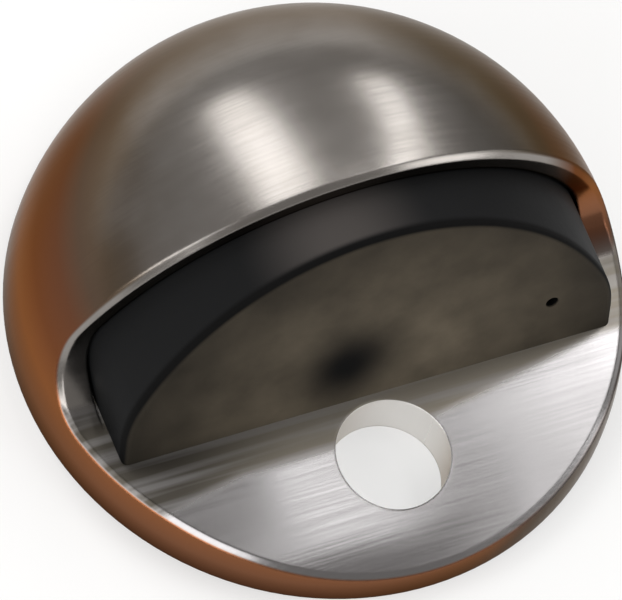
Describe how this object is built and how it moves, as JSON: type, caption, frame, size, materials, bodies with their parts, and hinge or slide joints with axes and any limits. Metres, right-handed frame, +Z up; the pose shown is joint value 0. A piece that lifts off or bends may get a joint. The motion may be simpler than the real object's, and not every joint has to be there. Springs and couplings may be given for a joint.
{
  "type": "dome door stop",
  "caption": "Half-dome floor door stop: satin steel dome with a flat front plate and screw hole, and a black rubber bumper set under the rim to catch the door.",
  "frame": {"origin": "centre of the base circle on the underside", "axes": "+Z up from the floor, -Y from the dome towards the bumper's face and the screw hole, +X to the right for someone who faces the bumper"},
  "size_m": [0.045, 0.045, 0.0225],
  "materials": {
    "dome_body": "satin brushed",
    "rubber_bumper": "matt moulded"
  },
  "bodies": {
    "root": {"dome_body": "dome_body", "rubber_bumper": "rubber_bumper"}
  },
  "joints": []
}
